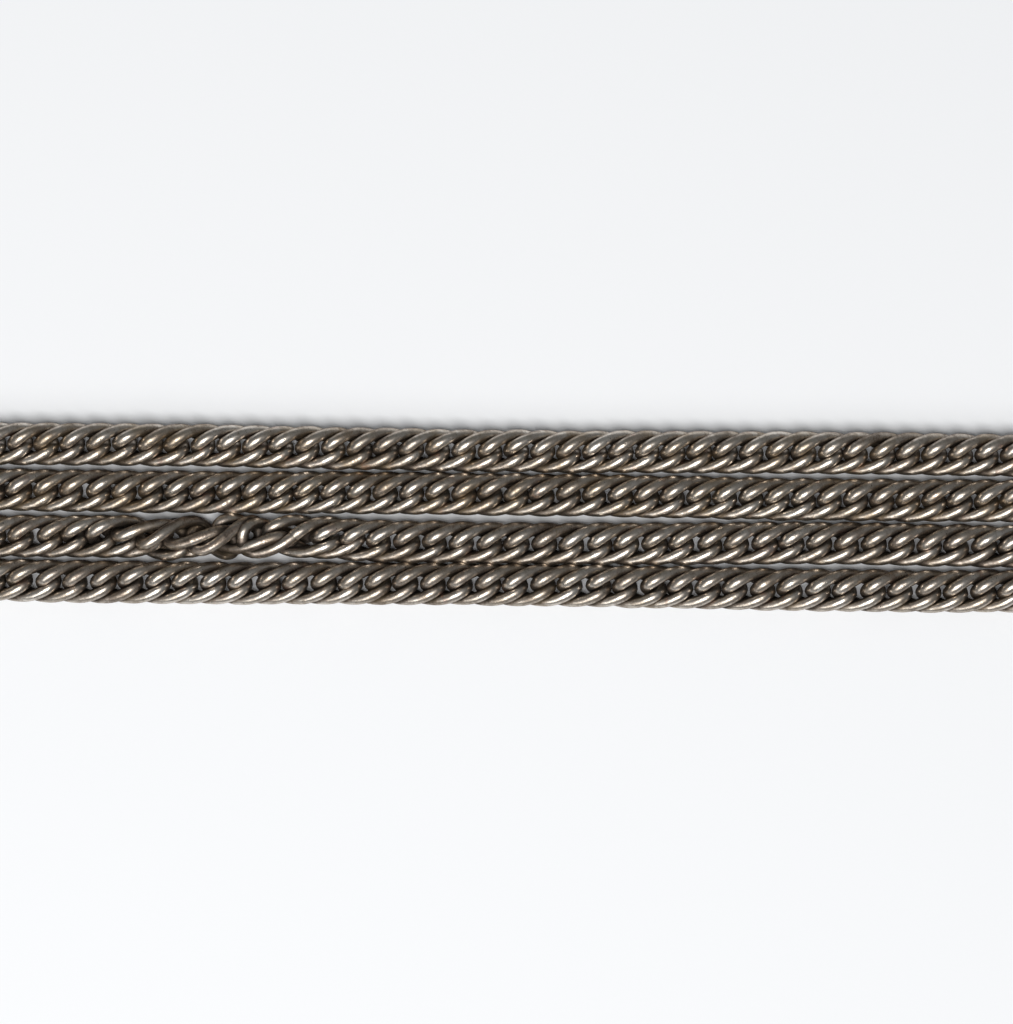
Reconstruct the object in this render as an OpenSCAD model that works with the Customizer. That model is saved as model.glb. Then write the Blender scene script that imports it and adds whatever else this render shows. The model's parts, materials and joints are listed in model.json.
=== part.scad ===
// Pocket watch chain: a double Albert of four curb-chain lengths, joined by oval links,
// with a T-bar on a short drop in the middle and a swivel clip at each end.
// Millimetres. +X runs along the lengths, +Z is up, and the chain lies on z = 0.

/* [Chain rings] */
// Outside length of one ring
ring_l = 7.7; // [7.7:0.05:7.9]
// Wire thickness of the rings
wire_d = 1; // [0.9:0.02:1]
// Radius of the bend at each end of a ring
bend_r = 1.56; // [1.54:0.01:1.58]

/* [Chain lengths] */
// Step between rings where the chain lies closed up
close_step = 2.615; // [2.6:0.005:2.64]
// Short step inside a pair of rings where the chain is drawn out
pair_step = 2.32; // [2.3:0.01:2.36]
// Long step between two pairs where the chain is drawn out
gap_step = 3.2; // [3.14:0.01:3.24]
// Step between rings where the third length twists over
twist_step = 2.58; // [2.57:0.005:2.6]
// Place of the first length across the chain
strand_1_y = 6.85; // [6.8:0.05:7.2]
// Place of the second length across the chain
strand_2_y = 2.35; // [2.3:0.05:2.4]
// Place of the third length across the chain
strand_3_y = -2.3; // [-2.35:0.05:-2.25]
// Place of the fourth length across the chain
strand_4_y = -6.7; // [-7:0.05:-6.7]
// How far the second length wanders sideways
wander_mm = 0.08; // [0:0.01:0.1]
// Rings in the short drop that carries the T-bar
drop_rings = 6; // [3:1:10]

/* [Links] */
// Wire thickness of the oval links
link_wire = 0.95; // [0.85:0.05:0.95]
// Width of the wide links, centre to centre of the wire
wide_link_w = 3.4; // [3.2:0.1:3.4]
// Width of the small end links, centre to centre of the wire
end_link_w = 4; // [3.8:0.1:4.6]

/* [T-bar] */
// Length of the bar
bar_l = 22; // [18:1:26]
// Thickness of the bar
bar_d = 3; // [2.4:0.1:3.2]
// Distance from the eye to the middle of the bar
bar_reach = 5.2; // [4.6:0.1:7]

/* [Swivel clip] */
// Diameter of the swivel barrel
barrel_d = 3.2; // [3:0.05:3.3]
// Half width of the hook, to the middle of its wire
hook_w = 2.9; // [2.8:0.1:3.1]
// Straight length of the hook
hook_l = 6; // [5.5:0.5:8]
// Thickness of the hook wire
hook_d = 1.5; // [1.3:0.1:1.6]

/* [Hidden] */
$fn = 48;

// The ring: at each end two arcs leave the tip, steep and leaning, and a straight bar joins
// them along each side. It maps onto itself when it is turned half round about any axis.
tip_steep = 68;
tip_lean = 30;
bend_sweep = 118;
seam = 0.02;
seat_d = wire_d - 0.06;
seat_l = 0.24;
lap = 0.1;
tip_x = (ring_l - wire_d) / 2;
tip = [-tip_x, 0, 0];
along = [0, cos(tip_steep), sin(tip_steep)];
inward = [cos(tip_lean), sin(tip_lean) * sin(tip_steep), -sin(tip_lean) * cos(tip_steep)];
shoulder = tip + bend_r * ((1 - cos(bend_sweep)) * inward + sin(bend_sweep) * along);
bar_half = norm([shoulder.x, 0, shoulder.z]);
bar_dir = [-shoulder.x, 0, -shoulder.z] / bar_half;
bend_points = [for (t = [0:bend_sweep / 16:bend_sweep])
    tip + bend_r * ((1 - cos(t)) * inward + sin(t) * along)];

// Half the height of a ring rolled about the chain's line, and a run of such heights eased
// so that the chain climbs and comes down gently
function support(r) = wire_d / 2 + max([for (p = bend_points) abs(p.y * sin(r)) + abs(p.z * cos(r))]);
function eased(h) = [for (i = [0:len(h) - 1])
    i == 0 || i == len(h) - 1 ? h[i] : max(h[i], (h[i - 1] + h[i + 1]) / 2)];
flat_h = support(0);

// The steps and the roll from ring to ring along each length
function closed(n) = [for (i = [1:n]) close_step];
function pairs(n) = [for (i = [1:2 * n - 1]) i % 2 == 1 ? pair_step : gap_step];
function level(n) = [for (i = [1:n]) 0];
twist_n = 14;
meet_step = 2.9;
twisted = [for (i = [1:twist_n]) twist_step];
turning = [for (i = [1:twist_n]) 180 / twist_n];
steps = [closed(43), closed(41), concat(pairs(2), meet_step, twisted, meet_step, pairs(11)), pairs(21)];
rolls = [level(43), level(41), concat(level(4), turning, level(22)), level(41)];
first_ring = [[0, 9, 16, 23, 30, 37, 44], [0, 7, 14, 21, 28, 35, 42],
    [0, 4, 19, 27, 33, 41], [0, 10, 18, 26, 34, 42]];
letters = "abcdef";
// The outer lengths start two rings further out, so that their end links clear the centre link
start = [-2 * close_step, 0, 0, -pair_step - gap_step];
function running(v, first) =
    [for (i = 0, s = first; i <= len(v); s = s + (i < len(v) ? v[i] : 0), i = i + 1) s];
at = [for (k = [0:3]) running(steps[k], start[k])];
roll = [for (v = rolls) running(v, 0)];
side_lift = 0.1;
height = [for (v = roll) eased(eased([for (r = v) support(r) + side_lift * abs(sin(r))]))];
strand_y = [strand_1_y, strand_2_y, strand_3_y, strand_4_y];
sway = wander_mm * [1.2, -1, 2.2, -1.2];
span = 41 * close_step;

// Where the fittings sit. A link's wire runs through a ring this far inside the ring's tip.
thread = 1.3;
eye_r = 1.15;
eye_wire = 0.85;
rivet_h = 0.35;
end_link_side = 2.4;
drop_link_side = 0.8;
fold_spare = 0.1;
drop_l = (drop_rings - 1) * close_step;
reach_right = span + tip_x - thread + wide_link_w + link_wire / 2;
reach_left = tip_x - thread + wide_link_w + tip_x - thread + drop_l
    + tip_x - thread + end_link_w + bar_reach + bar_d / 2 + rivet_h;
first_x = (reach_left - reach_right) / 2;
last_x = first_x + span;
centre_link_x = first_x - tip_x + thread - wide_link_w / 2;
drop_x = centre_link_x - wide_link_w / 2 + thread - tip_x;
drop_link_x = drop_x - drop_l - tip_x + thread - end_link_w / 2;
tbar_x = drop_link_x - end_link_w / 2;
fold_link_x = last_x + tip_x - thread + wide_link_w / 2;
function end_link_x(s) = first_x + start[s] - tip_x + thread - end_link_w / 2;
function swivel_x(s) = end_link_x(s) - end_link_w / 2;
centre_gap = strand_y[1] - strand_y[2];

// The T-bar: its shank runs through the bar, with a collar behind it and a rivet head in
// front. The bar is turned: a boss round the shank, two beads each side, and thicker ends.
shank_r = 0.55;
shank_bore_r = 0.6;
collar_r = 1;
collar_h = 0.4;
collar_gap = 0.05;
rivet_r = 0.95;
rivet_gap = 0.03;
waist = 0.35;
boss_half = 1.3;
bead_r = 0.3;
bead_places = [2.4, 3.3];
end_from = 7.6;
dome_at = (bar_l - bar_d) / 2;

// The swivel clip, measured forward from its eye. The stem's head turns in a room inside the
// barrel, and a neck keeps the barrel off the eye.
stem_r = 0.5;
stem_end = 4;
neck_at = 1.5;
neck_r = 0.8;
neck_h = 0.4;
head_at = 3.6;
head_r = 0.9;
head_h = 0.5;
room_back = 0.15;
room_front = 0.2;
room_side = 0.1;
bore_gap = 0.08;
barrel_back = 2;
barrel_front = 5.4;
pivot_u = 8;
nose_u = pivot_u + 4.7;

// The gate turns on a pin between two cheeks at the hook's root, with a spring above its hub.
cheek_r = 1;
cheek_h = 2.2;
slot_h = 1.1;
slot_back = 1;
slot_l = 2.4;
pin_r = 0.35;
pin_proud = 0.05;
pin_fit = 0.005;
hub_r = 0.85;
hub_low = 0.5;
hub_h = 0.78;
hub_step = 0.29;
gate_wire = 1;
gate_root = 0.5;
gate_gap = 0.15;
gate_fit = 0.04;
thumb_r = 0.32;
thumb_l = 0.8;
thumb_back = 1.3;
coil_r = 0.62;
coil_wire = 0.2;
coil_up = 0.41;
tail_at = 0.95;
tail_l = 0.34;
tail_wire = 0.16;

silver = [0.62, 0.57, 0.49];
dark_silver = [0.5, 0.46, 0.4];
steel = [0.55, 0.55, 0.53];

// Puts the children's x, y and z axes on the three given directions, at point c.
module in_frame(x, y, z, c) {
    multmatrix([[x.x, y.x, z.x, c.x], [x.y, y.y, z.y, c.y], [x.z, y.z, z.z, c.z], [0, 0, 0, 1]])
        children();
}

module bend() {
    cut = seam / 2 / bend_r * 180 / PI;
    in_frame(-inward, along, cross(-inward, along), tip + bend_r * inward)
        rotate([0, 0, cut])
            rotate_extrude(angle = bend_sweep - cut)
                translate([bend_r, 0])
                    circle(d = wire_d);
}

module half_ring() {
    bend();
    rotate([180, 0, 0]) bend();
    in_frame([1, 0, 0], cross(along, [1, 0, 0]), along, tip)
        cylinder(d = seat_d, h = seat_l, center = true);
    in_frame([0, 1, 0], cross(bar_dir, [0, 1, 0]), bar_dir, [0, shoulder.y, 0])
        cylinder(d = seat_d, h = 2 * (bar_half + lap), center = true);
}

module ring() {
    half_ring();
    rotate([0, 0, 180]) half_ring();
}

// Every length wanders a little sideways, and the third climbs where it twists over.
function wander(s, i) = sway[s] * sin(3 * 180 * at[s][i] / span);
function heading(s, i) = atan(sway[s] * 3 * PI / span * cos(3 * 180 * at[s][i] / span));
function climb(s, i) = i == 0 || i == len(at[s]) - 1 ? 0
    : atan((height[s][i + 1] - height[s][i - 1]) / (at[s][i + 1] - at[s][i - 1]));

module strand_section(s, k) {
    color(s < 2 ? silver : dark_silver)
        for (i = [first_ring[s][k]:first_ring[s][k + 1] - 1])
            translate([first_x + at[s][i], strand_y[s] + wander(s, i), height[s][i]])
                rotate([roll[s][i], -climb(s, i), heading(s, i)])
                    ring();
}

module drop_chain() {
    color(silver)
        for (i = [0:drop_rings - 1])
            translate([drop_x - i * close_step, 0, flat_h])
                ring();
}

// An oval link lying flat: two straight sides across the chain and a half circle at each end.
module oval_link(x, y, w, side) {
    color(silver)
        translate([x, y, flat_h]) {
            for (turn = [0, 180])
                rotate([0, 0, turn]) {
                    translate([0, side / 2, 0])
                        rotate_extrude(angle = 180)
                            translate([w / 2, 0])
                                circle(d = link_wire);
                    translate([w / 2, -side / 2 - lap, 0])
                        rotate([-90, 0, 0])
                            cylinder(d = link_wire - 0.04, h = side + 2 * lap);
                }
        }
}

module centre_link() {
    oval_link(centre_link_x, 0, wide_link_w, centre_gap + fold_spare);
}

module drop_link() {
    oval_link(drop_link_x, 0, end_link_w, drop_link_side);
}

module fold_link(a, b) {
    oval_link(fold_link_x, (strand_y[a] + strand_y[b]) / 2, wide_link_w,
        abs(strand_y[a] - strand_y[b]) + fold_spare);
}

module end_link(s) {
    oval_link(end_link_x(s), strand_y[s], end_link_w, end_link_side);
}

// A round eye standing on edge, with its shank leaving it forward
module eye(shank_r, shank_end) {
    rotate([90, 0, 0])
        rotate_extrude()
            translate([eye_r, 0])
                circle(d = eye_wire);
    translate([eye_r, 0, 0])
        rotate([0, 90, 0])
            cylinder(r = shank_r, h = shank_end - eye_r);
}

module disc(u, r, h) {
    translate([u, 0, 0])
        rotate([0, 90, 0])
            cylinder(r = r, h = h);
}

module at_tbar() {
    translate([tbar_x, 0, flat_h])
        rotate([0, 0, 180])
            children();
}

module tbar_shank() {
    color(silver) at_tbar() {
        eye(shank_r, bar_reach + bar_d / 2 + rivet_h);
        disc(bar_reach - bar_d / 2 - collar_gap - collar_h, collar_r, collar_h);
        disc(bar_reach + bar_d / 2 + rivet_gap, rivet_r, rivet_h - rivet_gap);
    }
}

// The bar is one turned piece with domed ends.
module tbar_bar() {
    color(silver) at_tbar()
        difference() {
            translate([bar_reach, 0, 0])
                rotate([90, 0, 0])
                    rotate_extrude()
                        intersection() {
                            translate([0, -bar_l / 2]) square([bar_d, bar_l]);
                            union() {
                                translate([0, -dome_at])
                                    square([bar_d / 2 - waist, 2 * dome_at]);
                                for (side = [-1, 1]) {
                                    translate([0, side * dome_at]) circle(d = bar_d);
                                    for (place = bead_places)
                                        translate([bar_d / 2 - bead_r, side * place])
                                            circle(r = bead_r);
                                }
                                translate([0, -boss_half]) square([bar_d / 2, 2 * boss_half]);
                                translate([0, end_from]) square([bar_d / 2, dome_at - end_from]);
                                translate([0, -dome_at]) square([bar_d / 2, dome_at - end_from]);
                            }
                        }
            disc(bar_reach - bar_d, shank_bore_r, 2 * bar_d);
        }
}

// The upper clip hangs on the first length and the lower one on the fourth, gates outward.
module at_swivel(s) {
    translate([swivel_x(s), strand_y[s], flat_h])
        rotate([s == 0 ? 180 : 0, 0, 180])
            children();
}

module swivel_eye(s) {
    color(silver) at_swivel(s) {
        eye(stem_r, stem_end);
        disc(neck_at, neck_r, neck_h);
        disc(head_at, head_r, head_h);
    }
}

// The barrel turns on the eye's stem. Its hook is one bent wire, open where the gate closes it.
module swivel_hook(s) {
    color(silver) at_swivel(s)
        difference() {
            union() {
                disc(barrel_back, barrel_d / 2, barrel_front - barrel_back);
                translate([pivot_u, 0, 0])
                    rotate([0, 0, 90])
                        rotate_extrude(angle = 180)
                            translate([hook_w, 0])
                                circle(d = hook_d);
                translate([pivot_u - lap, -hook_w, 0])
                    rotate([0, 90, 0])
                        cylinder(d = hook_d - 0.04, h = hook_l + 2 * lap);
                translate([pivot_u + hook_l, 0, 0])
                    rotate([0, 0, -90])
                        rotate_extrude(angle = 180)
                            translate([hook_w, 0])
                                circle(d = hook_d);
                translate([nose_u, hook_w, 0])
                    rotate([0, 90, 0])
                        cylinder(d = hook_d - 0.04, h = pivot_u + hook_l + lap - nose_u);
                translate([pivot_u, hook_w, -cheek_h / 2])
                    cylinder(r = cheek_r, h = cheek_h);
            }
            disc(neck_at, stem_r + bore_gap, head_at - neck_at);
            disc(head_at - room_back, head_r + room_side, room_back + head_h + room_front);
            translate([pivot_u - slot_back, hook_w - slot_h, -slot_h / 2])
                cube([slot_l, slot_l, slot_h]);
            translate([pivot_u, hook_w, -cheek_h])
                cylinder(r = pin_r + pin_fit, h = 2 * cheek_h);
        }
}

module gate(s) {
    color(dark_silver) at_swivel(s)
        difference() {
            union() {
                translate([pivot_u, hook_w, -hub_low])
                    cylinder(r = hub_r, h = hub_h);
                translate([pivot_u + gate_root, hook_w, 0])
                    rotate([0, 90, 0])
                        cylinder(d = gate_wire, h = nose_u - gate_gap - pivot_u - gate_root);
                translate([nose_u - thumb_back, hook_w, 0])
                    rotate([-90, 0, 0])
                        cylinder(r = thumb_r, h = thumb_l);
            }
            translate([pivot_u, hook_w, -cheek_h])
                cylinder(r = pin_r + gate_fit, h = 2 * cheek_h);
            translate([pivot_u - hub_r - lap, hook_w - hub_r - lap, hub_step])
                cube([2 * hub_r + lap, 2 * (hub_r + lap), hub_r]);
        }
}

module gate_pin(s) {
    color(steel) at_swivel(s)
        translate([pivot_u, hook_w, -cheek_h / 2 - pin_proud])
            cylinder(r = pin_r, h = cheek_h + 2 * pin_proud);
}

// One turn of wire round the pin above the gate's hub, with its tail back in the slot
module gate_spring(s) {
    color(steel) at_swivel(s)
        translate([pivot_u, hook_w, coil_up]) {
            rotate_extrude()
                translate([coil_r, 0])
                    circle(d = coil_wire);
            translate([-tail_at, 0, 0])
                rotate([0, 90, 0])
                    cylinder(d = tail_wire, h = tail_l);
        }
}

centre_link();
drop_chain();
drop_link();
tbar_shank();
tbar_bar();
for (s = [0:3])
    for (k = [0:len(first_ring[s]) - 2])
        strand_section(s, k);
fold_link(0, 1);  // fold_link_upper
fold_link(2, 3);  // fold_link_lower
end_link(0);  // end_link_upper
end_link(3);  // end_link_lower
swivel_eye(0);  // swivel_eye_upper
swivel_hook(0);  // swivel_hook_upper
gate(0);  // gate_upper
gate_pin(0);  // gate_pin_upper
gate_spring(0);  // gate_spring_upper
swivel_eye(3);  // swivel_eye_lower
swivel_hook(3);  // swivel_hook_lower
gate(3);  // gate_lower
gate_pin(3);  // gate_pin_lower
gate_spring(3);  // gate_spring_lower
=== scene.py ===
"""Pocket watch chain: four lengths of worn double curb chain with links, T-bar and swivel clips."""

import json
import math

import bpy
import numpy as np
from mathutils import Matrix, Vector


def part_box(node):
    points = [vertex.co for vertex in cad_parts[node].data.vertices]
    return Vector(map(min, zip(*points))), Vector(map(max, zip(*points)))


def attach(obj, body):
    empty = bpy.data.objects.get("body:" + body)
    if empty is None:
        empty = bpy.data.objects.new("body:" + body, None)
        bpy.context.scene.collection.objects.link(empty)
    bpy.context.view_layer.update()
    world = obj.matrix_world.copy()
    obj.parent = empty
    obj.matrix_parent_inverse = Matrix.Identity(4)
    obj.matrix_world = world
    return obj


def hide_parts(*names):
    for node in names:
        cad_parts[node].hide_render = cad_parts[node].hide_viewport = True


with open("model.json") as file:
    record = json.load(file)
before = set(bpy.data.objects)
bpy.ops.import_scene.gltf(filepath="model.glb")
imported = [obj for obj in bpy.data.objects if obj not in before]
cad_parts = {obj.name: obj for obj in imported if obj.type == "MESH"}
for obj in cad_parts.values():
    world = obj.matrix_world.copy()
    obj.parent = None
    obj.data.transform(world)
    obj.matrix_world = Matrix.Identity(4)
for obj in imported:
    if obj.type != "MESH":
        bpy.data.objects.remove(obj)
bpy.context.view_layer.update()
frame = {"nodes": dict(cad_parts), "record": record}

MM = 0.001
rng = np.random.default_rng(11)
BODY_OF = {n: b for b, members in frame["record"]["behaviour"]["bodies"].items() for n in members}

# The chain's measures in millimetres. The ring's length, the close and the meeting step, the rows
# and the sections are the CAD's. The pair and gap steps are more even than the CAD's 2.32 and 3.2.
RING_L = 7.7
CLOSE_STEP, PAIR_STEP, GAP_STEP, MEET_STEP = 2.615, 2.65, 2.8535, 2.9
DROP_RINGS = 6
STRAND_Y = (6.85, 2.35, -2.3, -6.7)
START = (-2 * CLOSE_STEP, 0, 0, -5.52)
SWAY = 0.08 * np.array([1.2, -1.0, 2.2, -1.2])
HALF_WAVES = 3
FIRST_RING = ((0, 9, 16, 23, 30, 37, 44), (0, 7, 14, 21, 28, 35, 42),
              (0, 4, 19, 27, 33, 41), (0, 10, 18, 26, 34, 42))
SPAN = 41 * CLOSE_STEP

# The ring as it is seen: a full oval of wire, twisted about its length. OVAL_A and OVAL_B are the
# half axes of its centre line and OVAL_FULL the power that fills its corners. DRAWN_OUT is how many
# times longer the rings of each of the four lengths are
WIRE_D = 1.15
OVAL_A, OVAL_B, OVAL_FULL = 3.27, 1.6, 3.2
DRAWN_OUT = (1, 1, 1.052, 1.052)
OVAL_TWIST = math.radians(72)
LEAN, TILT = math.radians(5), math.radians(6)


# ---------------------------------------------------------------- lines and tubes
def unit(v):
    return v / np.maximum(np.linalg.norm(v, axis=-1, keepdims=True), 1e-9)


def round_angles(n):
    """n even angles over a whole turn."""
    return np.linspace(0, 2 * math.pi, n + 1)[:-1]


def even(line, n):
    """A closed line's points moved to n even places along it."""
    loop = np.vstack([line, line[:1]])
    run = np.concatenate([[0], np.cumsum(np.linalg.norm(np.diff(loop, axis=0), axis=1))])
    where = np.linspace(0, run[-1], n + 1)[:-1]
    return np.stack([np.interp(where, run, loop[:, k]) for k in range(3)], axis=1)


def eased_line(line, passes):
    for _ in range(passes):
        line = (np.roll(line, 1, 0) + np.roll(line, -1, 0) + 2 * line) / 4
    return line


def frames_along(line):
    """Two directions across a closed line at each point, turning as little as they can."""
    t = unit(np.roll(line, -1, 0) - np.roll(line, 1, 0))
    seed = np.array([0.0, 0.0, 1.0]) if abs(t[0][2]) < 0.9 else np.array([1.0, 0.0, 0.0])
    across = [unit(seed - seed.dot(t[0]) * t[0])]
    for i in range(1, len(line)):
        v = across[-1] - across[-1].dot(t[i]) * t[i]
        across.append(unit(v))
    across = np.array(across)
    last = unit(across[-1] - across[-1].dot(t[0]) * t[0])
    off = math.atan2(np.cross(across[0], last).dot(t[0]), across[0].dot(last))
    turn = -off * np.arange(len(line)) / len(line)
    side = np.cross(t, across)
    across = across * np.cos(turn)[:, None] + side * np.sin(turn)[:, None]
    return across, np.cross(t, across)


def grid_faces(n, m, closed):
    """Quads over an n by m grid that is closed round its m side, and along n if closed."""
    faces = []
    for i in range(n if closed else n - 1):
        a, b = i * m, (i + 1) % n * m
        for j in range(m):
            k = (j + 1) % m
            faces.append((a + j, a + k, b + k, b + j))
    return faces


def tube(line, radius, sides):
    """Points and faces of a closed tube. radius is one number or a table of len(line) by sides."""
    n = len(line)
    across, side = frames_along(line)
    angle = np.arange(sides) * 2 * math.pi / sides
    out = (across[:, None] * np.cos(angle)[None, :, None]
           + side[:, None] * np.sin(angle)[None, :, None])
    r = np.broadcast_to(radius, (n, sides))
    points = (line[:, None] + out * r[:, :, None]).reshape(-1, 3)
    return points, grid_faces(n, sides, True)


def lathe(profile, sides, start, along, across):
    """A turned solid: profile is (place, radius) pairs along a direction from a start point."""
    along, across = unit(np.array(along, float)), unit(np.array(across, float))
    side = np.cross(along, across)
    angle = np.arange(sides) * 2 * math.pi / sides
    spoke = across[None] * np.cos(angle)[:, None] + side[None] * np.sin(angle)[:, None]
    points = np.concatenate([np.array(start, float) + u * along + r * spoke for u, r in profile])
    n = len(profile)
    faces = grid_faces(n, sides, False)
    faces += [tuple(range(sides))[::-1], tuple(range((n - 1) * sides, n * sides))]
    return points, faces


def joined(parts):
    """Several (points, faces) as one."""
    points, faces, base = [], [], 0
    for p, f in parts:
        points.append(p)
        faces += [tuple(base + k for k in face) for face in f]
        base += len(p)
    return np.concatenate(points), faces


def piece(name, points, faces, material, nodes, marks=None):
    """A finished object that rides on the body of the CAD nodes that it replaces."""
    mesh = bpy.data.meshes.new(name)
    mesh.from_pydata((np.asarray(points) * MM).tolist(), [], faces)
    for key, values in (marks or {}).items():
        layer = mesh.attributes.new(key, "FLOAT", "POINT")
        layer.data.foreach_set("value", np.asarray(values, float).ravel())
    mesh.materials.append(material)
    mesh.shade_smooth()
    obj = bpy.data.objects.new(name, mesh)
    bpy.context.scene.collection.objects.link(obj)
    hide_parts(*nodes)
    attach(obj, BODY_OF[nodes[0]])
    return obj


# ---------------------------------------------------------------- the ring and the route
def ring_line(n):
    """A ring's centre line: a full oval, twisted so that each side dips from end to end."""
    turn = round_angles(720)
    c, d = np.cos(turn), np.sin(turn)
    x = OVAL_A * np.sign(c) * abs(c) ** (2 / OVAL_FULL)
    w = OVAL_B * np.sign(d) * abs(d) ** (2 / OVAL_FULL)
    twist = -OVAL_TWIST * x / OVAL_A
    line = np.stack([x, w * np.cos(twist), w * np.sin(twist)], axis=1)
    return even(eased_line(even(line, 240), 6), n)


def support(roll):
    """Half the height of a ring that is rolled about the chain's line."""
    line = ring_line(96)
    return WIRE_D / 2 + max(abs(line[:, 1] * math.sin(roll)) + abs(line[:, 2] * math.cos(roll)))


def eased_heights(h):
    """Heights raised to the middle of their neighbours, so that no ring sinks between two."""
    mid = [max(h[i], (h[i - 1] + h[i + 1]) / 2) for i in range(1, len(h) - 1)]
    return np.array([h[0]] + mid + [h[-1]])


def turn_matrix(roll, pitch, yaw):
    heading = Matrix.Rotation(yaw, 3, "Z")
    return np.array(heading @ Matrix.Rotation(pitch, 3, "Y") @ Matrix.Rotation(roll, 3, "X"))


def pairs(n):
    """The steps between 2 n rings that lie in pairs."""
    return [PAIR_STEP if i % 2 else GAP_STEP for i in range(1, 2 * n)]


FLAT_H = support(0)
# The third length's steps where the CAD twists evenly, set so that the whole length stays the CAD's
TWIST = [2.4] + [2.5] * 10 + [2.9, 2.62, 2.72]
STEPS = ([CLOSE_STEP] * 43, [CLOSE_STEP] * 41,
         pairs(2) + [MEET_STEP] + TWIST + [MEET_STEP] + pairs(11), pairs(21))
# The third length rolls over by half a turn in eight of its steps
ROLL_STEPS = 8
ROLLS = ([0] * 43, [0] * 41, [0] * 6 + [math.pi / ROLL_STEPS] * ROLL_STEPS + [0] * 26, [0] * 41)
# Its rings tumble there: roll, pitch and heading in degrees, shift sideways in millimetres
TUMBLING_LENGTH = 2
TUMBLE = {0: (0, 0, 0, -0.08), 1: (0, 0, 0, -0.08), 2: (0, 0, 0, -0.08), 3: (0, 0, 0, -0.08),
          4: (0, 0, -1, -0.1), 5: (0, 0, -2, -0.12), 6: (-6, 3, -4, -0.16),
          7: (9, -5, -6, -0.24), 8: (-12, 7, 6, -0.28), 9: (11, -7, -9, -0.2),
          10: (-10, 6, 10, 0.02), 11: (12, -8, -7, 0.1), 12: (-11, 6, 8, 0.2),
          13: (9, -5, -5, 0.22), 14: (-5, 3, 3, 0.16), 15: (3, 0, -2, 0.08)}
IN_LINE = (0, 0, 0, 0)
FIRST_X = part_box("strand_2_a")[0].x / MM + RING_L / 2


def strand_places(s):
    """(centre, turn) of every ring along one length."""
    at = START[s] + np.concatenate([[0], np.cumsum(STEPS[s])])
    roll = LEAN + np.concatenate([[0], np.cumsum(ROLLS[s])])
    h = np.array([support(r) for r in roll])
    h = eased_heights(eased_heights(h))
    wave = HALF_WAVES * math.pi / SPAN
    places = []
    for i in range(len(at)):
        inner = 0 < i < len(at) - 1
        climb = math.atan((h[i + 1] - h[i - 1]) / (at[i + 1] - at[i - 1])) if inner else 0
        heading = math.atan(SWAY[s] * wave * math.cos(wave * at[i]))
        centre = (FIRST_X + at[i], STRAND_Y[s] + SWAY[s] * math.sin(wave * at[i]), h[i])
        r, p, y, shift = TUMBLE.get(i, IN_LINE) if s == TUMBLING_LENGTH else IN_LINE
        turn = turn_matrix(roll[i] + math.radians(r), TILT - climb + math.radians(p),
                           heading + math.radians(y))
        places.append((np.array(centre) + [0, shift, 0], turn))
    return places


STATIONS, SIDES = 76, 16
RING_LINE = ring_line(STATIONS)
RING_ACROSS, RING_SIDE = frames_along(RING_LINE)
ANGLE = np.arange(SIDES) * 2 * math.pi / SIDES
RING_OUT = (RING_ACROSS[:, None] * np.cos(ANGLE)[None, :, None]
            + RING_SIDE[:, None] * np.sin(ANGLE)[None, :, None])
ALONG_RING = np.arange(STATIONS) / STATIONS
# How far each point of the wire faces away from the ring's middle line. Near the line, where that
# direction is unsure, it fades out
FADE_BELOW = 0.7
RING_AXIS = RING_LINE * [0, 1, 1]
AXIS_LENGTH = np.maximum(np.linalg.norm(RING_AXIS, axis=1), FADE_BELOW)
FACING = np.einsum("ijk,ik->ij", RING_OUT, RING_AXIS / AXIS_LENGTH[:, None])
# How far it faces up or down, where it is rubbed
RUBBED = abs(RING_OUT[:, :, 2])
# The wire is a little thicker where it was bent sharply, at both ends of a ring
TIP_SWELL = 0.13


def bump_at(station, angle, wide_station, wide_angle):
    """A soft round mark on the ring's surface, 1 in its middle."""
    ds = (ALONG_RING - station + 0.5) % 1 - 0.5
    da = (ANGLE - angle + math.pi) % (2 * math.pi) - math.pi
    return np.exp(-(ds / wide_station)[:, None] ** 2 - (da / wide_angle)[None] ** 2)


def worn_radius():
    """The wire's radius over the ring: uneven drawing, dents, a flat where it is worn, a joint."""
    r = np.full((STATIONS, SIDES), WIRE_D / 2)
    for k in (2, 3, 5):
        depth = 0.006 * rng.normal()
        r *= 1 + depth * np.cos(2 * math.pi * (k * ALONG_RING + rng.random()))[:, None]
    r *= 1 - 0.035 * np.clip(FACING, 0, 1) ** 6
    r *= 1 + TIP_SWELL * (abs(RING_LINE[:, :1]) / OVAL_A) ** 5
    for _ in range(rng.integers(3, 7)):
        mark = bump_at(rng.random(), rng.random() * 2 * math.pi,
                       rng.uniform(0.008, 0.02), rng.uniform(0.3, 0.7))
        r -= rng.uniform(0.008, 0.03) * mark
    joint = rng.choice([0.22, 0.28, 0.72, 0.78]) + rng.normal() * 0.01
    ds = (ALONG_RING - joint + 0.5) % 1 - 0.5
    swell = rng.uniform(0.0, 0.022) * np.exp(-(ds / 0.018) ** 2)
    r += swell[:, None] * (1 + 0.5 * np.cos(2 * ANGLE + rng.random() * 6)[None])
    return r


# The reach of the rings beside a ring, and the gap in millimetres below which another ring's
# nearness paints shade on the wire
NEAR_REACH, SHADE_REACH = 9, 0.55
# How far a ring usually strays: roll, pitch and heading in degrees, its centre in millimetres
STRAY_TURN, STRAY_PLACE = [0.9, 0.5, 1.1], [0.045, 0.025, 0.01]
# Points measured at a time, to keep the table of distances small
BLOCK = 400


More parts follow.
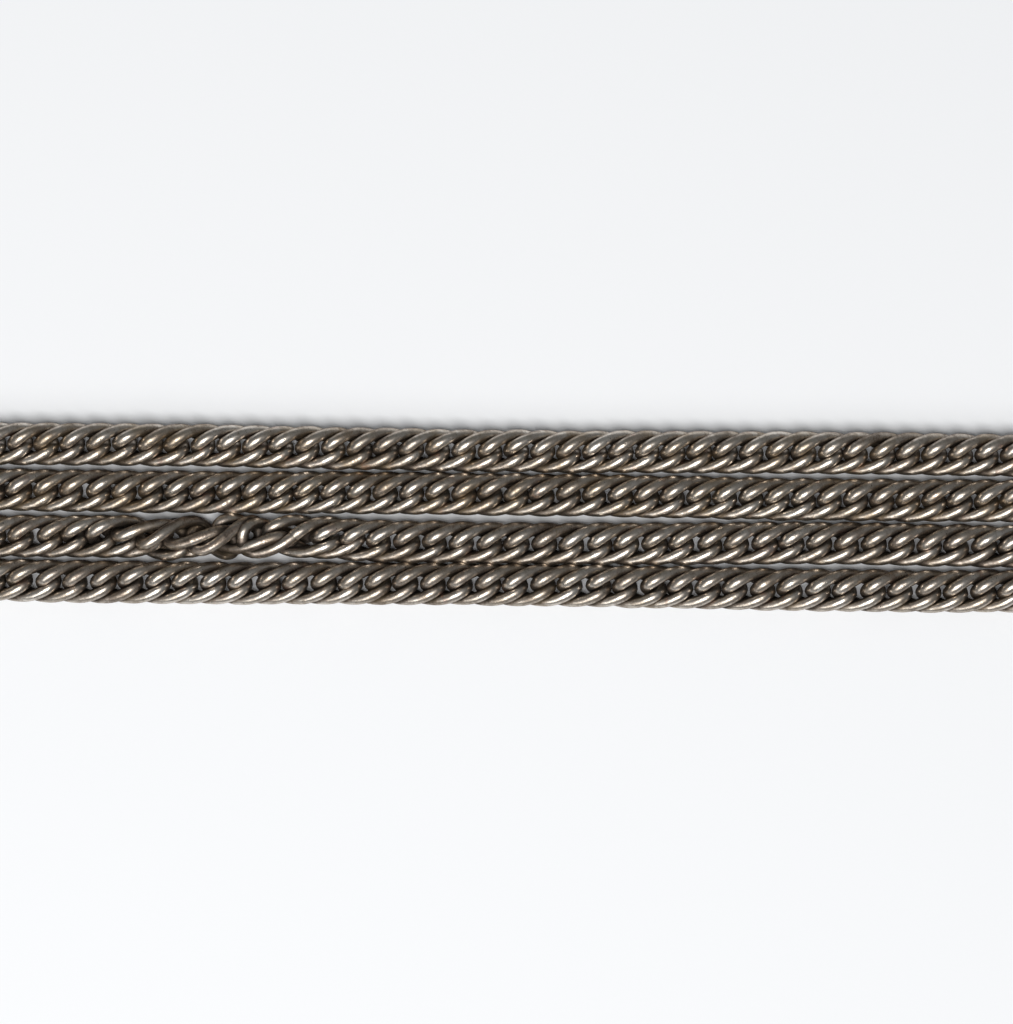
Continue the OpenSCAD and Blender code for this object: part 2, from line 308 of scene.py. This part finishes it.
def chain_piece(name, places, near, node, material, slot, drawn=1):
    """The rings of one section as one mesh, with each point's closeness to the rings beside it."""
    parts, gaps, facing, tone = [], [], [], []
    ring = RING_LINE * [drawn, 1, 1]
    for centre, turn in places:
        lines = [c + ring[::2] @ m.T for c, m in near
                 if 0.1 < np.linalg.norm(c - centre) < NEAR_REACH]
        jitter = turn_matrix(*(rng.normal(size=3) * np.radians(STRAY_TURN)))
        local = (ring[:, None] + RING_OUT * worn_radius()[:, :, None]).reshape(-1, 3)
        points = centre + rng.normal(size=3) * STRAY_PLACE + (local @ jitter.T) @ turn.T
        points[:, 2] += max(0, -points[:, 2].min())
        cloud = np.concatenate(lines)
        gap = np.empty(len(points))
        for start in range(0, len(points), BLOCK):
            block = points[start:start + BLOCK]
            squares = ((block[:, None] - cloud[None]) ** 2).sum(2)
            gap[start:start + BLOCK] = np.sqrt(squares.min(1)) - WIRE_D / 2
        parts.append((points, grid_faces(STATIONS, SIDES, True)))
        gaps.append(gap)
        # Painted shade on the wire's faces turned in towards the ring's middle line, down into the
        # chain; the sides away from the rubbed faces are darker as tarnish and as painted shade at
        # the chain's edges
        facing.append(np.clip(-FACING, 0, 1).ravel() + 0.6 * ((1 - RUBBED) ** 2).ravel())
        tone.append(np.full(len(points), rng.normal()))
    points, faces = joined(parts)
    # Painted shade: the nearer another ring comes, the darker the wire, as occlusion between rings
    marks = {"near_ring_shade": np.clip(1 - np.concatenate(gaps) / SHADE_REACH, 0, 1),
             "inside": np.clip(np.concatenate(facing), 0, 1),
             "tone": np.clip(np.concatenate(tone), -2, 2)}
    return piece(name, points, faces, material, [node], marks)


# ---------------------------------------------------------------- materials
def add(tree, kind, inputs=None, **settings):
    node = tree.nodes.new(kind)
    for key, value in settings.items():
        setattr(node, key, value)
    for key, value in (inputs or {}).items():
        if isinstance(value, bpy.types.NodeSocket):
            tree.links.new(value, node.inputs[key])
        else:
            node.inputs[key].default_value = value
    return node


def math_node(tree, how, a, b):
    return add(tree, "ShaderNodeMath", {0: a, 1: b}, operation=how).outputs[0]


def span(tree, value, low, high, to_low, to_high):
    """A value eased from one range into another, and held at its ends."""
    inputs = {"Value": value, "From Min": low, "From Max": high,
              "To Min": to_low, "To Max": to_high}
    return add(tree, "ShaderNodeMapRange", inputs, interpolation_type="SMOOTHSTEP").outputs[0]


def noise(tree, place, per_metre, detail, rough, distortion=0.0):
    inputs = {"Vector": place, "Scale": per_metre, "Detail": detail,
              "Roughness": rough, "Distortion": distortion}
    return add(tree, "ShaderNodeTexNoise", inputs).outputs["Fac"]


def ramp(tree, value, stops):
    node = add(tree, "ShaderNodeValToRGB", {"Fac": value})
    elements = node.color_ramp.elements
    while len(elements) < len(stops):
        elements.new(0.5)
    for element, (place, colour) in zip(elements, stops):
        element.position = place
        element.color = (*colour, 1)
    return node.outputs["Color"]


# The colour sockets of a Mix node, which share their names with its other kinds
MIX_FACTOR, MIX_A, MIX_B, MIX_RESULT = 0, 6, 7, 2


def blend_colour(tree, amount, a, b):
    colours = {MIX_A: a, MIX_B: b}
    inputs = {k: v if isinstance(v, bpy.types.NodeSocket) else (*v, 1) for k, v in colours.items()}
    node = add(tree, "ShaderNodeMix", {MIX_FACTOR: amount, **inputs}, data_type="RGBA")
    return node.outputs[MIX_RESULT]


# Old silver from rubbed bright to black: tarnish, and painted shade in the crevices
TARNISH_AND_SHADE = ((0.0, (0.78, 0.735, 0.675)), (0.3, (0.5, 0.445, 0.385)), (0.55, (0.235, 0.195, 0.165)),
        (0.8, (0.085, 0.07, 0.061)), (1.0, (0.03, 0.026, 0.024)))
GOLD = (0.36, 0.27, 0.16)
ROSE = (0.36, 0.17, 0.12)
PIT_BLACK = (0.03, 0.024, 0.02)
BUMP_DEPTH = 0.00006


def tarnish_and_shade_metal(name, base, warm, rough, marks=True, pit_depth=1.0):
    """Tarnished silver: rubbed high spots, brown film, painted shade in the crevices, pits and
    scratches.

    With marks the painted shade in the crevices comes from each point's closeness to other rings
    and from the inside mark, and the tone mark shifts each ring; without them it comes from the
    bend of the mesh.
    """
    mat = bpy.data.materials.new(name)
    mat.use_nodes = True
    tree = mat.node_tree
    tree.nodes.clear()
    place = add(tree, "ShaderNodeTexCoord").outputs["Object"]
    cloud = noise(tree, place, 170, 3, 0.5)
    film = noise(tree, place, 900, 4, 0.6, 0.4)
    speck = noise(tree, place, 5200, 3, 0.6)
    amount = math_node(tree, "ADD", base, span(tree, film, 0.3, 0.75, -0.14, 0.2))
    amount = math_node(tree, "ADD", amount, span(tree, cloud, 0.35, 0.7, -0.07, 0.1))
    amount = math_node(tree, "ADD", amount, span(tree, speck, 0.35, 0.75, -0.05, 0.1))
    if marks:
        # Painted shade: darker where the wire comes close to another ring and where it faces into
        # the chain; the tone mark is each ring's own tone
        near_ring_shade = add(tree, "ShaderNodeAttribute", attribute_name="near_ring_shade").outputs["Fac"]
        inside = add(tree, "ShaderNodeAttribute", attribute_name="inside").outputs["Fac"]
        tone = add(tree, "ShaderNodeAttribute", attribute_name="tone").outputs["Fac"]
        amount = math_node(tree, "ADD", amount, span(tree, near_ring_shade, 0.15, 0.9, 0.0, 0.62))
        amount = math_node(tree, "ADD", amount, span(tree, inside, 0.0, 0.8, 0.0, 0.62))
        amount = math_node(tree, "ADD", amount, math_node(tree, "MULTIPLY", tone, 0.035))
    else:
        # Painted shade: the mesh's hollows are darker; its edges are lighter, as rubbed wear
        bend = add(tree, "ShaderNodeNewGeometry").outputs["Pointiness"]
        amount = math_node(tree, "ADD", amount, span(tree, bend, 0.47, 0.53, 0.38, -0.2))
    colour = ramp(tree, amount, TARNISH_AND_SHADE)
    gold = span(tree, noise(tree, place, 330, 2, 0.5), 0.42, 0.72, warm * 0.45, warm * 2.4)
    colour = blend_colour(tree, gold, colour, GOLD)
    rose = span(tree, noise(tree, place, 610, 2, 0.5, 0.6), 0.62, 0.78, 0.0, 0.35)
    colour = blend_colour(tree, rose, colour, ROSE)
    cells = add(tree, "ShaderNodeTexVoronoi",
                {"Vector": place, "Scale": 2600.0, "Randomness": 1.0})
    pit = math_node(tree, "MULTIPLY", span(tree, cells.outputs["Distance"], 0.1, 0.24, 1.0, 0.0),
                    span(tree, noise(tree, place, 1500, 2, 0.5), 0.5, 0.62, 0.0, 1.0))
    colour = blend_colour(tree, math_node(tree, "MULTIPLY", pit, 0.75), colour, PIT_BLACK)
    roughness = math_node(tree, "ADD", span(tree, amount, 0.1, 1.0, rough - 0.03, rough + 0.28),
                          span(tree, speck, 0.3, 0.7, -0.04, 0.07))
    stretch = add(tree, "ShaderNodeMapping",
                  {"Vector": place, "Rotation": (0.4, 0.2, 0.6), "Scale": (1, 14, 9)})
    scratch = noise(tree, stretch.outputs[0], 1100, 2, 0.5)
    height = noise(tree, place, 1300, 3, 0.5)
    height = math_node(tree, "ADD", height, math_node(tree, "MULTIPLY", speck, 0.22))
    height = math_node(tree, "ADD", height, math_node(tree, "MULTIPLY", scratch, 0.12))
    height = math_node(tree, "SUBTRACT", height, math_node(tree, "MULTIPLY", pit, 0.5 * pit_depth))
    bump = add(tree, "ShaderNodeBump", {"Strength": 0.4, "Distance": BUMP_DEPTH, "Height": height})
    shader = add(tree, "ShaderNodeBsdfPrincipled",
                 {"Base Color": colour, "Metallic": 1.0, "Roughness": roughness,
                  "Normal": bump.outputs[0]})
    out = add(tree, "ShaderNodeOutputMaterial")
    tree.links.new(shader.outputs[0], out.inputs[0])
    return mat


CHAIN_CLOSED = tarnish_and_shade_metal("silver_tarnish_shade_closed", base=0.25, warm=0.18, rough=0.34)
CHAIN_DRAWN = tarnish_and_shade_metal("silver_tarnish_shade_drawn", base=0.26, warm=0.1, rough=0.34)
LINK_METAL = tarnish_and_shade_metal("silver_tarnish_shade_links", base=0.3, warm=0.12, rough=0.28, marks=False)
BAR_METAL = tarnish_and_shade_metal("silver_tarnish_shade_bar", base=0.22, warm=0.1, rough=0.25, marks=False)
CLIP_METAL = tarnish_and_shade_metal("silver_tarnish_shade_clip", base=0.26, warm=0.1, rough=0.27, marks=False)
SPRING_METAL = tarnish_and_shade_metal("spring_steel", base=0.35, warm=0.02, rough=0.35, marks=False,
                           pit_depth=0.3)

# ---------------------------------------------------------------- chain lengths
LETTERS = "abcdef"
# Rings beyond a section's ends that still paint shade on its rings
BESIDE = 3
CLOSED_LOOK, DRAWN_LOOK = (CHAIN_CLOSED, "chain_closed"), (CHAIN_DRAWN, "chain_drawn")
for s, (metal, slot) in enumerate((CLOSED_LOOK, CLOSED_LOOK, DRAWN_LOOK, DRAWN_LOOK)):
    places = strand_places(s)
    for letter, a, b in zip(LETTERS, FIRST_RING[s], FIRST_RING[s][1:]):
        node = f"strand_{s + 1}_{letter}"
        near = places[max(0, a - BESIDE):b + BESIDE]
        chain_piece(node + "_rings", places[a:b], near, node, metal, slot, DRAWN_OUT[s])

drop_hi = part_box("drop_chain")[1].x / MM - RING_L / 2
drop = [(np.array([drop_hi - i * CLOSE_STEP, 0, FLAT_H]), np.eye(3)) for i in range(DROP_RINGS)]
chain_piece("drop_rings", drop, drop, "drop_chain", *CLOSED_LOOK)

# ---------------------------------------------------------------- fittings
def middle(node):
    low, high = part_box(node)
    return np.array((low + high) / 2) / MM, np.array(high - low) / MM


UNEVEN, DENTS, MOST_SWELL = 0.012, 6, 1.02


def uneven(n, sides, radius):
    """A table of radii for a hand-made wire: a little uneven, with a few dents."""
    along, around = np.arange(n) / n, np.arange(sides) * 2 * math.pi / sides
    r = np.full((n, sides), radius, float)
    for k in (2, 3, 5, 8):
        r *= 1 + UNEVEN * rng.normal() * np.cos(2 * math.pi * (k * along + rng.random()))[:, None]
    for _ in range(DENTS):
        ds = (along - rng.random() + 0.5) % 1 - 0.5
        da = (around - rng.random() * 2 * math.pi + math.pi) % (2 * math.pi) - math.pi
        r -= rng.uniform(0.01, 0.03) * np.exp(-(ds / 0.012)[:, None] ** 2 - (da / 0.5)[None] ** 2)
    return np.minimum(r, radius * MOST_SWELL)


LINK_WIRE = 0.93
# The wire's width with its unevenness, which keeps the link inside its CAD node's box
LINK_SPREAD = 1.04 * LINK_WIRE
LINK_STATIONS, LINK_SIDES, LINK_JOINT_AT = 160, 20, 0.52


def oval_link(node):
    """An oval link of round wire, with the solder joint of its maker on one side."""
    centre, size = middle(node)
    half, side = (size[0] - LINK_SPREAD) / 2, (size[1] - size[0]) / 2
    turn = np.linspace(0, math.pi, 60)
    top = np.stack([half * np.cos(turn), half * np.sin(turn) + side, 0 * turn], axis=1)
    line = even(eased_line(even(np.vstack([top, -top]), 240), 12), LINK_STATIONS) + centre
    r = uneven(LINK_STATIONS, LINK_SIDES, LINK_WIRE / 2)
    joint = np.arange(LINK_STATIONS) / LINK_STATIONS - LINK_JOINT_AT
    bead, seam = (np.exp(-(joint / width) ** 2)[:, None] for width in (0.012, 0.003))
    r *= 1 + 0.03 * bead - 0.03 * seam
    points, faces = tube(line, r, LINK_SIDES)
    piece(node + "_wire", points, faces, LINK_METAL, [node])


for node in ("centre_link", "drop_link", "fold_link_upper", "fold_link_lower",
             "end_link_upper", "end_link_lower"):
    oval_link(node)


def rounded(profile, passes=2):
    """A lathe profile with its corners cut again and again, so that every edge is worn round."""
    points = np.array(profile, float)
    for _ in range(passes):
        a, b = points[:-1], points[1:]
        cut = np.stack([0.75 * a + 0.25 * b, 0.25 * a + 0.75 * b], axis=1).reshape(-1, 2)
        points = np.vstack([points[:1], cut, points[-1:]])
    return points


EYE_R, EYE_WIRE = 1.15, 0.85
# The radius of a lathe profile at its ends, which the end faces close
TIP_R = 0.02


def eye_parts(eye, forward, shank_r, shank_end, turned):
    """The round eye, its shank and the turned discs on it, as the CAD has them."""
    forward = np.array(forward, float)
    turn = round_angles(96)
    line = eye + EYE_R * (np.cos(turn)[:, None] * forward + np.sin(turn)[:, None] * [0, 0, 1.0])
    parts = [tube(line, uneven(96, 20, EYE_WIRE / 2), 20)]
    neck = [(EYE_R, TIP_R), (EYE_R + 0.1, shank_r * 1.25), (EYE_R + 0.55, shank_r),
            (shank_end - 0.02, shank_r), (shank_end, TIP_R)]
    parts.append(lathe(rounded(neck), 32, eye, forward, (0, 0, 1)))
    for u, r, h in turned:
        disc = [(u, TIP_R), (u, r * 0.97), (u + h * 0.5, r), (u + h, r * 0.9), (u + h, TIP_R)]
        parts.append(lathe(rounded(disc, 3), 48, eye, forward, (0, 0, 1)))
    return parts


BAR_REACH, BAR_R, DOME_AT, BAR_HALF = 5.2, 1.5, 9.5, 11
bar_mid = middle("tbar_bar")[0]
tbar_eye = bar_mid + [BAR_REACH, 0, 0]
discs = [(BAR_REACH - BAR_R - 0.45, 1.0, 0.4), (BAR_REACH + BAR_R + 0.03, 0.95, 0.32)]
points, faces = joined(eye_parts(tbar_eye, (-1, 0, 0), 0.55, BAR_REACH + BAR_R + 0.35, discs))
piece("tbar_shank_turned", points, faces, BAR_METAL, ["tbar_shank"])

# The bar from its middle to its end, as (place, radius): boss, two beads, waist, grooved knob, dome
half_bar = [(0.0, 1.5), (1.0, 1.5), (1.3, 1.42), (1.42, 1.1), (1.7, 1.12), (2.08, 1.14),
            (2.2, 1.42), (2.4, 1.5), (2.6, 1.42), (2.75, 1.16), (2.95, 1.16), (3.1, 1.42),
            (3.3, 1.5), (3.5, 1.42), (3.62, 1.12), (4.2, 1.02), (5.4, 1.04), (6.6, 1.1),
            (7.2, 1.14), (7.45, 1.18), (7.6, 1.46), (7.75, 1.5), (8.2, 1.5), (8.25, 1.42),
            (8.42, 1.42), (8.47, 1.5), (8.62, 1.5), (8.67, 1.42), (8.84, 1.42), (8.89, 1.5)]
half_bar += [(DOME_AT + BAR_R * math.sin(a), BAR_R * math.cos(a)) for a in np.linspace(0, 1.5, 14)]
half_bar.append((BAR_HALF, TIP_R))
bar_line = rounded([(-u, r) for u, r in half_bar[:0:-1]] + half_bar)
points, faces = lathe(bar_line, 72, bar_mid, (0, 1, 0), (0, 0, 1))
piece("tbar_bar_turned", points, faces, BAR_METAL, ["tbar_bar"])


def softened(name, node, metal, voxel, passes):
    """The CAD solid with its edges filed and worn round, as a new mesh."""
    mesh = frame["nodes"][node].data.copy()
    obj = bpy.data.objects.new(name, mesh)
    bpy.context.scene.collection.objects.link(obj)
    remesh = obj.modifiers.new("skin", "REMESH")
    remesh.mode = "VOXEL"
    remesh.voxel_size = voxel * MM
    smooth = obj.modifiers.new("worn", "SMOOTH")
    smooth.factor, smooth.iterations = 0.5, passes
    graph = bpy.context.evaluated_depsgraph_get()
    worn = bpy.data.meshes.new_from_object(obj.evaluated_get(graph))
    obj.modifiers.clear()
    obj.data = worn
    worn.materials.clear()
    worn.materials.append(metal)
    worn.shade_smooth()
    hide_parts(node)
    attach(obj, BODY_OF[node])
    return obj


# The skin's grain on each part of a clip, small enough to keep the part's shape
HOOK_VOXEL, GATE_VOXEL = 0.085, 0.06
BARREL_R = 1.6
# The beads round the barrel: (place behind the eye, radius)
BEADS = ((2.35, 0.13), (2.75, 0.09), (4.65, 0.09), (5.05, 0.13))
# The discs turned on the eye's stem: (place, radius, height)
STEM_DISCS = [(1.5, 0.8, 0.4), (3.6, 0.9, 0.5)]
for end in ("upper", "lower"):
    eye_mid = np.array(middle("swivel_eye_" + end)[0])
    eye_mid[0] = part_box("swivel_eye_" + end)[1].x / MM - EYE_R - EYE_WIRE / 2
    points, faces = joined(eye_parts(eye_mid, (-1, 0, 0), 0.5, 4, STEM_DISCS))
    piece("swivel_eye_turned_" + end, points, faces, CLIP_METAL, ["swivel_eye_" + end])
    softened("swivel_hook_worn_" + end, "swivel_hook_" + end, CLIP_METAL, HOOK_VOXEL, 4)
    softened("gate_worn_" + end, "gate_" + end, CLIP_METAL, GATE_VOXEL, 3)
    for k, (back, bead_r) in enumerate(BEADS):
        turn = round_angles(72)
        circle = np.cos(turn)[:, None] * [0, 1.0, 0] + np.sin(turn)[:, None] * [0, 0, 1.0]
        line = eye_mid + [-back, 0, 0] + (BARREL_R - 0.02) * circle
        points, faces = tube(line, bead_r, 10)
        piece(f"barrel_bead_{k}_{end}", points, faces, CLIP_METAL, ["swivel_hook_" + end])

    for part in ("gate_pin_", "gate_spring_"):
        pin = frame["nodes"][part + end]
        pin.data.materials.clear()
        pin.data.materials.append(SPRING_METAL)

# ---------------------------------------------------------------- floor, light and camera
FLOOR_HALF = 3
mesh = bpy.data.meshes.new("floor")
corners = [(-FLOOR_HALF, -FLOOR_HALF, 0), (FLOOR_HALF, -FLOOR_HALF, 0),
           (FLOOR_HALF, FLOOR_HALF, 0), (-FLOOR_HALF, FLOOR_HALF, 0)]
mesh.from_pydata(corners, [], [(0, 1, 2, 3)])
floor = bpy.data.objects.new("floor", mesh)
bpy.context.scene.collection.objects.link(floor)
paper = bpy.data.materials.new("pale_paper")
paper.use_nodes = True
paper_shader = paper.node_tree.nodes["Principled BSDF"]
paper_shader.inputs["Base Color"].default_value = (0.855, 0.873, 0.9, 1)
paper_shader.inputs["Roughness"].default_value = 0.75
mesh.materials.append(paper)

# The middle of the view on the floor, and the photograph's width at ten pixels to the millimetre
VIEW_X, VIEW_Y, VIEW_WIDTH = (FIRST_X + 54) * MM, 0.65 * MM, 101.3 * MM
CAMERA_H = 0.62
SENSOR_WIDTH = 36
CHAIN_MID_H = 2.4 * MM
CAMERA_ROLL = math.radians(0.67)


WARM_WHITE = (1.0, 0.985, 0.965)


def soft_light(name, azimuth, elevation, distance, size, power):
    """A square panel that looks at the middle of the view. Angles are in degrees."""
    data = bpy.data.lights.new(name, "AREA")
    data.size = size
    data.energy = power
    data.color = WARM_WHITE
    light = bpy.data.objects.new(name, data)
    a, e = math.radians(azimuth), math.radians(elevation)
    away = Vector((math.cos(a) * math.cos(e), math.sin(a) * math.cos(e), math.sin(e)))
    light.location = Vector((VIEW_X, VIEW_Y, 0)) + away * distance
    light.rotation_euler = away.to_track_quat("Z", "Y").to_euler()
    bpy.context.scene.collection.objects.link(light)


soft_light("key_panel", -104, 75, 0.9, 0.46, 7.38)
soft_light("low_panel", -125, 42, 0.8, 0.34, 1.1)

world = bpy.data.worlds.new("studio")
world.use_nodes = True
backdrop = world.node_tree.nodes["Background"]
backdrop.inputs["Color"].default_value = (0.93, 0.965, 1.0, 1)
backdrop.inputs["Strength"].default_value = 0.15
bpy.context.scene.world = world
bpy.context.scene.view_settings.view_transform = "Standard"

camera_data = bpy.data.cameras.new("camera")
camera_data.sensor_fit = "HORIZONTAL"
camera_data.sensor_width = SENSOR_WIDTH
camera_data.lens = SENSOR_WIDTH * (CAMERA_H - CHAIN_MID_H) / VIEW_WIDTH
camera_data.clip_start, camera_data.clip_end = 0.01, 20
camera = bpy.data.objects.new("camera", camera_data)
camera.location = (VIEW_X, VIEW_Y, CAMERA_H)
camera.rotation_euler = (0, 0, CAMERA_ROLL)
bpy.context.scene.collection.objects.link(camera)
bpy.context.scene.camera = camera
